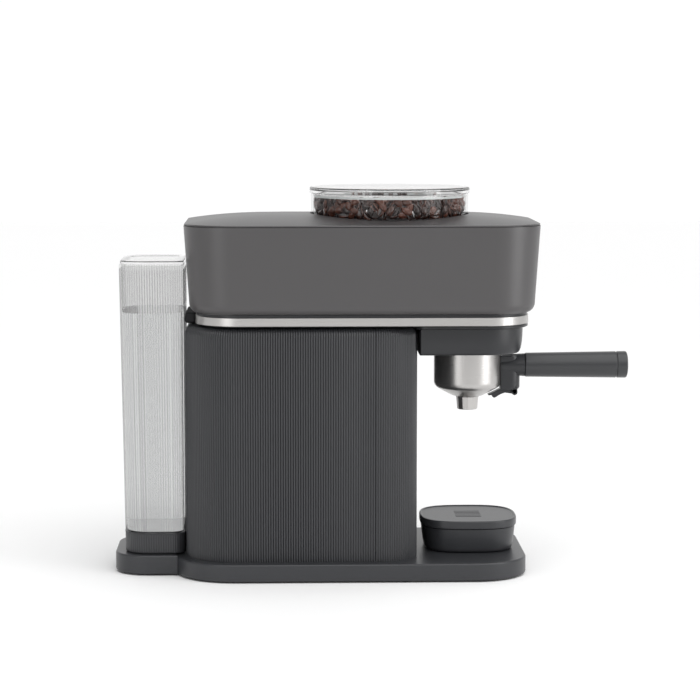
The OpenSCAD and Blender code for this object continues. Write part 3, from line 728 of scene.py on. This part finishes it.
class ESPRESSO_OT_portafilter(bpy.types.Operator):
    """Portafilter: steel bowl, faceted spout, bracket, latch lever and handle"""
    bl_idname = "espresso.portafilter"
    bl_label = "Portafilter"

    def execute(self, context):
        spout_low, spout_high = box_mm("pouring_spout")
        group_x = (spout_low.x + spout_high.x) / 2
        centre = (group_x, 0, 0)
        r, t = 30.9, 2.0
        top, shoulder, floor = 205.5, 170.5, 156.5

        bm = bmesh.new()
        outer = [(r - 0.4, top), (r, top - 0.4), (r, shoulder)]
        outer += arc(r - 7, shoulder, 7, 0, -62, 8)[1:]
        outer += [(14.5, 157.6), (11.2, 156.9), (10.4, floor)]
        inner = [(5, floor), (5, floor + 1.6), (14, floor + 3), (r - 7, shoulder - 5)]
        inner += [(r - t - 1, shoulder - 3), (r - t, shoulder), (r - t, top)]
        lathe(bm, outer + inner, centre, closed=True, steps=128)
        for ear_x in (group_x - 32.6, group_x + 32.6):
            soft_block(bm, (ear_x - 2.2, -6, 202), (ear_x + 2.2, 6, 205.4), 0.5)
        finish_piece(bm, "portafilter_bowl_brushed", "brushed_steel", "portafilter", ["portafilter_bowl"],
                     sharp_deg=30)

        bm = bmesh.new()
        spout = [(5, 144.6), (9.0, 144.6), (9.3, 144.9), (10.1, 154.2), (10.6, 156.2), (11.0, 156.6),
                 (5, 156.6)]
        lathe(bm, spout, centre, closed=True, steps=12)
        finish_piece(bm, "pouring_spout_faceted", "brushed_steel", "portafilter", ["pouring_spout"],
                     sharp_deg=20)

        bm = bmesh.new()
        lathe(bm, [(0, 177), (26, 177), (27.4, 178.2), (27.4, 205.4), (r, 205.5), (r, 206.3), (26.6, 206.3),
                   (26.6, 178.4), (25.6, 177.8), (0, 177.8)], centre)
        finish_piece(bm, "filter_basket_pressed", "brushed_steel", "portafilter", ["filter_basket"])

        self.bracket_and_handle()
        return {"FINISHED"}

    def bracket_and_handle(self):
        """The nylon bracket on the bowl, the handle in it, and the lever under it."""
        low, high = box_mm("handle_bracket")
        grip_low, grip_high = box_mm("handle_grip")
        cap_high = box_mm("handle_cap")[1]
        axis_z = (grip_low.z + grip_high.z) / 2
        bm = bmesh.new()
        boss_x, boss_r, cheek_y = high.x - 12.9, 9.0, 6.5
        soft_block(bm, (low.x + 0.1, -boss_r, 163.0), (boss_x + 1.5, boss_r, high.z - 0.6), 1.1)
        lathe(bm, [(0, 162.9), (boss_r - 2.4, 162.9), (boss_r - 0.8, 163.5), (boss_r, 165.2), (boss_r, 192.6),
                   (boss_r - 1.5, high.z - 0.5), (0, high.z - 0.5)], (boss_x, 0, 0), steps=64)
        neck = [(0, low.x + 0.2), (8.8, low.x + 0.2), (9.6, low.x + 1.2), (9.9, boss_x), (10.4, high.x - 2.4),
                (10.6, high.x), (0, high.x)]
        lathe(bm, neck, (0, 0, axis_z), axis="X", steps=72)
        pin = box_mm("latch_pin")
        pivot = (pin[0] + pin[1]) / 2
        for y in (-cheek_y, cheek_y):
            bmesh.ops.create_cone(bm, cap_ends=True, segments=32, radius1=2.7, radius2=2.7, depth=3,
                                  matrix=Matrix.Translation((pivot.x, y, pivot.z))
                                  @ Matrix.Rotation(math.pi / 2, 4, "X"))
            soft_block(bm, (pivot.x - 2.7, y - 1.5, pivot.z), (pivot.x + 2.6, y + 1.5, 166), 0.3)
        finish_piece(bm, "handle_bracket_moulding", "black_plastic", "portafilter", ["handle_bracket"])

        bm = bmesh.new()
        start, end = grip_low.x, grip_high.x
        grip = [(0, start + 0.2), (9.6, start + 0.2), (10.7, start + 0.7), (11.1, start + 1.8)]
        grip += [(12.15, end - 0.7), (11.7, end - 0.1), (0, end - 0.1)]
        lathe(bm, grip, (0, 0, axis_z), axis="X", steps=72)
        finish_piece(bm, "handle_grip_moulding", "handle_plastic", "portafilter", ["handle_grip"])

        bm = bmesh.new()
        start, end = grip_high.x, cap_high.x
        cap = [(0, start), (11.3, start), (11.3, start + 0.5), (12.0, start + 0.7), (12.25, start + 1.2)]
        cap += [(12.3, end - 2.6), (11.8, end - 1.4), (10.2, end - 0.7), (6, end - 0.15), (0, end)]
        lathe(bm, cap, (0, 0, axis_z), axis="X", steps=72)
        finish_piece(bm, "handle_cap_moulding", "handle_plastic", "portafilter", ["handle_cap"])

        lever_low, lever_high = box_mm("latch_lever")
        bm = bmesh.new()
        outline = [(2.4, 0.2), (1.4, 2.4), (-3, 3.1), (-12.8, 2.9), (-19, -0.2), (-24, -2.3), (-24, -3.3),
                   (-20.4, -3.1), (-20.2, -4.6), (-18.9, -5.5), (-17.3, -5.2), (-12.9, -2.4), (-8.6, -0.8),
                   (-3, -1.6), (0.8, -2.3), (2.1, -1.2)]
        verts = [bm.verts.new((pivot.x + x, lever_low.y, pivot.z + z)) for x, z in outline]
        face = bm.faces.new(verts)
        side = bmesh.ops.extrude_face_region(bm, geom=[face])["geom"]
        bmesh.ops.translate(bm, verts=[g for g in side if isinstance(g, bmesh.types.BMVert)],
                            vec=(0, lever_high.y - lever_low.y, 0))
        bmesh.ops.bevel(bm, geom=bm.edges[:], offset=0.35, offset_type="OFFSET", segments=2, profile=0.5,
                        affect="EDGES", material=-1, clamp_overlap=True)
        finish_piece(bm, "latch_lever_moulding", "black_plastic", "latch_lever", ["latch_lever"])


class ESPRESSO_OT_tank(bpy.types.Operator):
    """Ribbed clear water tank with its dark base, lid and water"""
    bl_idname = "espresso.tank"
    bl_label = "Water tank"

    def execute(self, context):
        low, high = box_mm("tank_body")
        cap_low, cap_high = box_mm("tank_base_cap")
        lid_low, lid_high = box_mm("tank_lid")
        width = high.y - low.y
        foot_z, rim_z = cap_low.z, lid_low.z - 0.4
        lean, wall = cap_low.x - low.x, 2.2
        pitch = sizes().tank_rib_pitch

        def leaning(co):
            """The rear leans: the tank is wider at the top than at its foot."""
            share = (co.x - high.x) / (low.x - high.x)
            drop = (rim_z - co.z) / (rim_z - foot_z)
            return Vector((co.x + lean * share * drop, co.y, co.z))

        def outline(bm, z, ribs=True, rear=low.x):
            step = pitch / 6 if ribs else 3
            face = plan_face(bm, rear, high.x, width, 22, 12, z, step_mm=step)
            return Rings(bm, face, pitch if ribs else 0, sizes().tank_rib_depth)

        bm = bmesh.new()
        rings = outline(bm, cap_high.z)
        rings.start(0, cap_high.z, shape=leaning)
        rings.add(0, rim_z - 4.2, shape=leaning)
        rim = ((0.0, -3.6), (0.0, -0.5), (0.5, 0), (1.7, 0), (wall, -0.5))
        rings.stack(rim_z, rim, rib=0, shape=leaning)
        rings.add(wall, cap_high.z + 2, rib=0, shape=leaning)
        rings.cap()
        finish_piece(bm, "tank_body_ribbed", "clear_plastic", "tank", ["tank_body"], finish="tank_wall")

        bm = bmesh.new()
        rings = outline(bm, cap_low.z)
        rings.start(1.5, cap_low.z, rib=0, shape=leaning)
        rings.add(0.4, cap_low.z + 0.5, rib=0.5, shape=leaning)
        rings.add(0, cap_low.z + 1.5, shape=leaning)
        rings.stack(cap_high.z, ((0, -0.5), (-0.25, -0.3), (-0.25, 0.4)), shape=leaning)
        rings.stack(cap_high.z, ((0.6, 0.5), (4, -0.1)), rib=0, shape=leaning)
        rings.cap()
        finish_piece(bm, "tank_base_ribbed", "column_plastic", "tank", ["tank_base_cap"])

        bm = bmesh.new()
        rings = outline(bm, cap_high.z, ribs=False)
        wet = wall - 0.08       # the water reaches a little into the wall, so no air shows between them
        rings.start(wet, cap_high.z + 1.9, shape=leaning)
        rings.stack(sizes().water_level, ((wet, -0.6), (2.5, -0.1), (3.2, 0)), shape=leaning)
        rings.cap()
        finish_piece(bm, "tank_water", "clear_plastic", "tank", finish="still_water")

        bm = bmesh.new()
        rings = outline(bm, lid_low.z, ribs=False, rear=low.x + 1.3)     # clears the rim as it swings up
        rings.start(0.9, lid_low.z + 0.6)
        rings.stack(lid_low.z, ((0.2, 0.8), (0, 1.6)))
        rings.stack(lid_high.z, ((0, -1), (0.3, -0.3), (1, 0), (6, 0), (7, -0.6)))
        rings.cap()
        finish_piece(bm, "tank_lid_moulding", "clear_plastic", "tank_lid", ["tank_lid"])
        return {"FINISHED"}


class ESPRESSO_OT_hopper(bpy.types.Operator):
    """Clear bean hopper: bowl and lift-off lid"""
    bl_idname = "espresso.hopper"
    bl_label = "Bean hopper"

    def execute(self, context):
        low, high = box_mm("hopper_lid")
        centre = ((low.x + high.x) / 2, 0, 0)
        r = (high.x - low.x) / 2
        seam = box_mm("hopper_bowl")[1].z
        floor = box_mm("hood_top_cover")[1].z - sizes().hopper_sink + 0.3
        outer = [(0, floor), (r - 8.6, floor)] + arc(r - 8.6, floor + 7.4, 7.4, -86, -6, 9)
        outer += [(r - 1.1, seam - 0.6), (r - 1.4, seam)]
        inner = [(r - 2.8, seam), (r - 3.0, seam - 0.6)] + arc(r - 8.8, floor + 7.4, 5.7, -6, -86, 9)
        inner += [(0, floor + 1.8)]
        bm = bmesh.new()
        lathe(bm, outer + inner, centre, steps=160)
        finish_piece(bm, "hopper_bowl_clear", "clear_plastic", "machine",
                     ["hopper_bowl", "hopper_floor"], finish="hopper_wall")

        bm = bmesh.new()
        lid_z, top = seam + 0.4, high.z
        profile = [(0, top - 2.6), (r - 8.5, top - 2.6), (r - 7.4, top - 3.4), (r - 7.2, lid_z - 3.6)]
        profile += [(r - 6.8, lid_z - 4), (r - 5.2, lid_z - 4), (r - 4.8, lid_z - 3.6), (r - 4.6, lid_z)]
        profile += [(r - 0.6, lid_z), (r, lid_z + 0.5), (r, top - 1.2), (r - 0.3, top - 0.4), (r - 1.1, top)]
        profile += [(0, top)]
        lathe(bm, profile, centre, steps=160)
        finish_piece(bm, "hopper_lid_clear", "clear_plastic", "hopper_lid", ["hopper_lid"])
        return {"FINISHED"}


class ESPRESSO_OT_beans(bpy.types.Operator):
    """Roasted beans heaped in the hopper"""
    bl_idname = "espresso.beans"
    bl_label = "Coffee beans"

    def execute(self, context):
        draw = random.Random(7)
        low, high = box_mm("hopper_lid")
        centre = Vector(((low.x + high.x) / 2, 0, 0))
        floor = box_mm("hood_top_cover")[1].z - sizes().hopper_sink + 2.2
        bm = bmesh.new()
        roast = bm.verts.layers.float.new("roast")
        for place, turn in self.places(draw, floor, (high.x - low.x) / 2 - 3.1):
            self.one_bean(bm, roast, draw, centre + place, turn)
        finish_piece(bm, "coffee_beans", "clear_plastic", "machine", finish="roasted_coffee", sharp_deg=60)
        return {"FINISHED"}

    def places(self, draw, floor, reach):
        """Rows of beans standing against the wall, then a full disc of beans on the top."""
        spots = []
        rows, row_height, in_a_row = 4, 3.9, 52
        for row in range(rows):
            z = floor + 3.4 + row * row_height
            shrink = 2.2 if row == 0 else 0.0
            for i in range(in_a_row):
                around = 2 * math.pi * (i + 0.5 * (row % 2) + draw.uniform(-0.2, 0.2)) / in_a_row
                radius = reach - 3.0 - shrink - draw.uniform(0, 0.7)
                face = Euler((draw.uniform(-0.35, 0.35), draw.choice((-1, 1)) * math.pi / 2, 0)).to_matrix()
                spin = Matrix.Rotation(draw.uniform(0, math.pi), 3, "Z")
                turn = Matrix.Rotation(around, 3, "Z") @ face @ spin
                spots.append((Vector((radius * math.cos(around), radius * math.sin(around),
                                      z + draw.uniform(-0.8, 0.8))), turn))
        top = floor + 3.2 + (rows - 1) * row_height
        golden = math.pi * (3 - math.sqrt(5))
        for i in range(sizes().beans):
            radius = (reach - 8) * math.sqrt((i + 0.5) / sizes().beans)
            around = i * golden
            turn = Euler((draw.uniform(-0.5, 0.5) + draw.choice((0, math.pi)), draw.uniform(-0.5, 0.5),
                          draw.uniform(0, 2 * math.pi))).to_matrix()
            spots.append((Vector((radius * math.cos(around), radius * math.sin(around),
                                  top + draw.uniform(-1.2, 0.4))), turn))
        return spots

    def one_bean(self, bm, roast, draw, place, turn):
        """An oval with a flat side and the crease down it."""
        made = bmesh.ops.create_uvsphere(bm, u_segments=12, v_segments=7, radius=1.0,
                                         matrix=Matrix.Rotation(math.pi / 2, 4, "Y"))["verts"]
        length, width, depth = draw.uniform(4.4, 5.2), draw.uniform(3.2, 3.7), draw.uniform(2.4, 2.8)
        tint = draw.uniform(-0.3, 0.45)
        for v in made:
            flat = v.co.z < -0.01
            groove = flat and abs(v.co.y) < 0.05
            z = -0.02 if groove else v.co.z * (0.5 if flat else 1.0)
            # The crease's vertices get painted shade: their tone value drops by 0.8.
            v[roast] = tint - (0.8 if groove else 0.0)
            v.co = Vector((v.co.x * length, v.co.y * width, z * depth))
        bmesh.ops.rotate(bm, verts=made, cent=(0, 0, 0), matrix=turn)
        bmesh.ops.translate(bm, verts=made, vec=place)


class ESPRESSO_OT_drip_tray(bpy.types.Operator):
    """Drip tray with its lift-off cup stand"""
    bl_idname = "espresso.drip_tray"
    bl_label = "Drip tray"

    def execute(self, context):
        low, high = box_mm("cup_stand_cover")
        tray_low, tray_high = box_mm("drip_tray")
        centre_x = (low.x + high.x) / 2
        outline = (centre_x, (high.x - low.x) / 2, (high.y - low.y) / 2, 2.9)
        seam, dish = tray_high.z, 0.8

        bm = bmesh.new()
        rings = Rings(bm, superellipse_face(bm, *outline, tray_low.z))
        rings.start(7.4, tray_low.z)
        rings.stack(tray_low.z, ((5.2, 0.3), (4.2, 1.1), (3.6, 2.4), (3.2, 4.2), (2.4, 10), (1.7, 16)))
        rings.stack(seam, ((1.2, -0.4), (1.6, 0), (3.0, 0), (3.2, -1)))
        rings.add(7.0, tray_low.z + 3)
        rings.cap()
        finish_piece(bm, "drip_tray_moulding", "tray_plastic", "drip_tray", ["drip_tray"])

        bm = bmesh.new()
        rings = Rings(bm, superellipse_face(bm, *outline, seam))
        rings.start(6.6, low.z)
        rings.drop_start_face()
        inner = list(rings.edges)
        rings.add(4.7, low.z)
        rings.stack(seam, ((4.7, 0.2), (0.9, 0.3), (0.2, 0.6), (0.0, 1.3)))
        rings.stack(high.z, ((0.0, -1.2), (0.3, -0.4), (1.0, 0), (1.8, 0), (2.3, -0.3), (2.7, -dish)))
        slots = self.slot_loops(bm, centre_x, high.z - dish)
        bmesh.ops.triangle_fill(bm, use_beauty=True, use_dissolve=False, edges=rings.edges + slots)
        underside = []
        for edges in (slots, inner):
            verts, lower = extruded(bm, edges)
            underside = lower + underside
            for v in verts:
                v.co.z = seam + 3
        bmesh.ops.triangle_fill(bm, use_beauty=True, use_dissolve=False, edges=underside)
        finish_piece(bm, "cup_stand_moulding", "tray_plastic", "cup_stand", ["cup_stand_cover"])
        return {"FINISHED"}

    def slot_loops(self, bm, centre_x, z):
        """Outlines of the five drain slots, each with round ends."""
        pitch, half_length = 7, 10.8
        edges = []
        for i in range(-2, 3):
            loop = bmesh.ops.create_circle(bm, cap_ends=False, segments=16, radius=1.2)["verts"]
            for v in loop:
                v.co.x += math.copysign(half_length, v.co.x)
                v.co += Vector((centre_x, i * pitch, z))
            edges += list({e for v in loop for e in v.link_edges})
        return edges


class ESPRESSO_OT_controls(bpy.types.Operator):
    """Button panel and its three push buttons on the front of the hood"""
    bl_idname = "espresso.controls"
    bl_label = "Controls"

    def execute(self, context):
        low, high = box_mm("button_panel")
        bm = bmesh.new()
        gap = 0.2
        soft_block(bm, (low.x + 2, low.y + gap, low.z + gap), (high.x + 0.7, high.y - gap, high.z - gap),
                   1.2, segments=4)
        finish_piece(bm, "button_panel_moulding", "black_plastic", "machine", ["button_panel"])
        for name in ("power_button", "single_button", "double_button"):
            b_low, b_high = box_mm(name)
            y, z = (b_low.y + b_high.y) / 2, (b_low.z + b_high.z) / 2
            bm = bmesh.new()
            cap = [(0, -4), (5, -4), (5, 0.2), (4.7, 0.7), (4.0, 0.95), (2.5, 0.8), (0, 0.7)]
            lathe(bm, cap, (b_high.x, y, z), axis="X", steps=48)
            finish_piece(bm, name + "_cap", "white_plastic", name, [name])
        return {"FINISHED"}


class ESPRESSO_OT_inner_parts(bpy.types.Operator):
    """Finishes of the pieces that keep their CAD shape"""
    bl_idname = "espresso.inner_parts"
    bl_label = "Inner parts"

    def execute(self, context):
        slot_of = {part["node"]: part["material_slot"] for part in frame["record"]["subparts"]}
        for name, node in frame["nodes"].items():
            node.data.materials.clear()
            node.data.materials.append(finish_of(slot_of[name]))
        return {"FINISHED"}


# ---------- studio ----------

def softbox(name, place, aim, width, height, watts):
    """A soft lamp at a place, turned to a point."""
    light = bpy.data.lights.new(name, "AREA")
    light.energy = watts
    light.shape = "RECTANGLE"
    light.size = width
    light.size_y = height
    lamp = bpy.data.objects.new(name, light)
    bpy.context.scene.collection.objects.link(lamp)
    lamp.location = place
    lamp.rotation_euler = (Vector(aim) - Vector(place)).to_track_quat("-Z", "Y").to_euler()


class ESPRESSO_OT_studio(bpy.types.Operator):
    """White floor and backdrop, soft lights and the camera"""
    bl_idname = "espresso.studio"
    bl_label = "Studio"

    def execute(self, context):
        bm = bmesh.new()
        bmesh.ops.create_grid(bm, x_segments=1, y_segments=1, size=6.0)
        mesh = bpy.data.meshes.new("studio_floor")
        bm.to_mesh(mesh)
        bm.free()
        floor = bpy.data.objects.new("studio_floor", mesh)
        context.scene.collection.objects.link(floor)
        mesh.materials.append(painted_studio("matt_white_floor", tuple(studio().floor)))

        context.scene.world = self.room_light()
        context.scene.view_settings.view_transform = "Standard"

        sky = bpy.data.lights.new("overhead_silk", "SUN")
        sky.energy = studio().overhead
        sky.angle = math.radians(70)
        overhead = bpy.data.objects.new("overhead_silk", sky)
        context.scene.collection.objects.link(overhead)
        overhead.rotation_euler = Vector((0.25, -0.35, 1.0)).to_track_quat("Z", "Y").to_euler()
        softbox("right_softbox", (1.45, -0.75, 0.45), (0.1, 0, 0.2), 0.75, 1.6, 11)
        softbox("left_softbox", (-1.05, -1.4, 0.5), (-0.05, 0, 0.2), 0.7, 1.3, 4)
        softbox("front_silk", (0.4, -2.6, 1.5), (0, 0, 0.2), 1.2, 1.2, 5)

        lens = bpy.data.cameras.new("studio_camera")
        lens.type = "PERSP"
        lens.sensor_width = 36.0
        lens.lens = studio().lens
        lens.clip_end = 50
        camera = bpy.data.objects.new("studio_camera", lens)
        context.scene.collection.objects.link(camera)
        turn, rise = math.radians(-1.7), math.radians(6.15)
        back = Vector((math.sin(turn) * math.cos(rise), -math.cos(turn) * math.cos(rise), math.sin(rise)))
        middle = Vector((-0.0207, 0.0, 0.1993))
        camera.location = middle + back * studio().distance
        camera.rotation_euler = back.to_track_quat("Z", "Y").to_euler()
        context.scene.camera = camera
        return {"FINISHED"}

    def room_light(self):
        """A white cyclorama on one side of the room, and a dimmer room on the other."""
        world = bpy.data.worlds.new("studio_air")
        world.use_nodes = True
        tree = world.node_tree
        tree.nodes.clear()
        place = add_node(tree, "ShaderNodeTexCoord")
        parts = add_node(tree, "ShaderNodeSeparateXYZ", links={"Vector": place.outputs["Generated"]})
        side = add_node(tree, "ShaderNodeMapRange", {"interpolation_type": "SMOOTHSTEP"},
                        {"From Min": 0.35, "From Max": 0.8, "To Min": studio().dim_side, "To Max": 1.02},
                        {"Value": parts.outputs["Y"]})
        glow = add_node(tree, "ShaderNodeBackground", inputs={"Color": (1.0, 1.0, 1.0, 1.0)},
                        links={"Strength": side.outputs["Result"]})
        add_node(tree, "ShaderNodeOutputWorld", links={"Surface": glow.outputs["Background"]})
        return world


class ESPRESSO_PT_panel(bpy.types.Panel):
    """Lists the pieces and their settings"""
    bl_idname = "ESPRESSO_PT_panel"
    bl_label = "Espresso Machine"
    bl_space_type = "VIEW_3D"
    bl_region_type = "UI"
    bl_category = "Espresso"

    def draw(self, context):
        for group in (context.scene.espresso_sizes, context.scene.espresso_studio):
            for name in group.__annotations__:
                self.layout.prop(group, name)
        for operator in PIECES:
            self.layout.operator(operator.bl_idname)


PIECES = (
    ESPRESSO_OT_inner_parts, ESPRESSO_OT_base, ESPRESSO_OT_column, ESPRESSO_OT_hood, ESPRESSO_OT_steel_band,
    ESPRESSO_OT_brew_head, ESPRESSO_OT_portafilter, ESPRESSO_OT_tank, ESPRESSO_OT_hopper, ESPRESSO_OT_beans,
    ESPRESSO_OT_drip_tray, ESPRESSO_OT_controls, ESPRESSO_OT_studio,
)
CLASSES = (EspressoSizes, EspressoStudio, *PIECES, ESPRESSO_PT_panel)


def register():
    for cls in CLASSES:
        bpy.utils.register_class(cls)
    bpy.types.Scene.espresso_sizes = PointerProperty(type=EspressoSizes)
    bpy.types.Scene.espresso_studio = PointerProperty(type=EspressoStudio)


def unregister():
    del bpy.types.Scene.espresso_studio
    del bpy.types.Scene.espresso_sizes
    for cls in reversed(CLASSES):
        bpy.utils.unregister_class(cls)


def main():
    register()
    for operator in PIECES:
        group, name = operator.bl_idname.split(".")
        getattr(getattr(bpy.ops, group), name)()


if __name__ == "__main__":
    main()
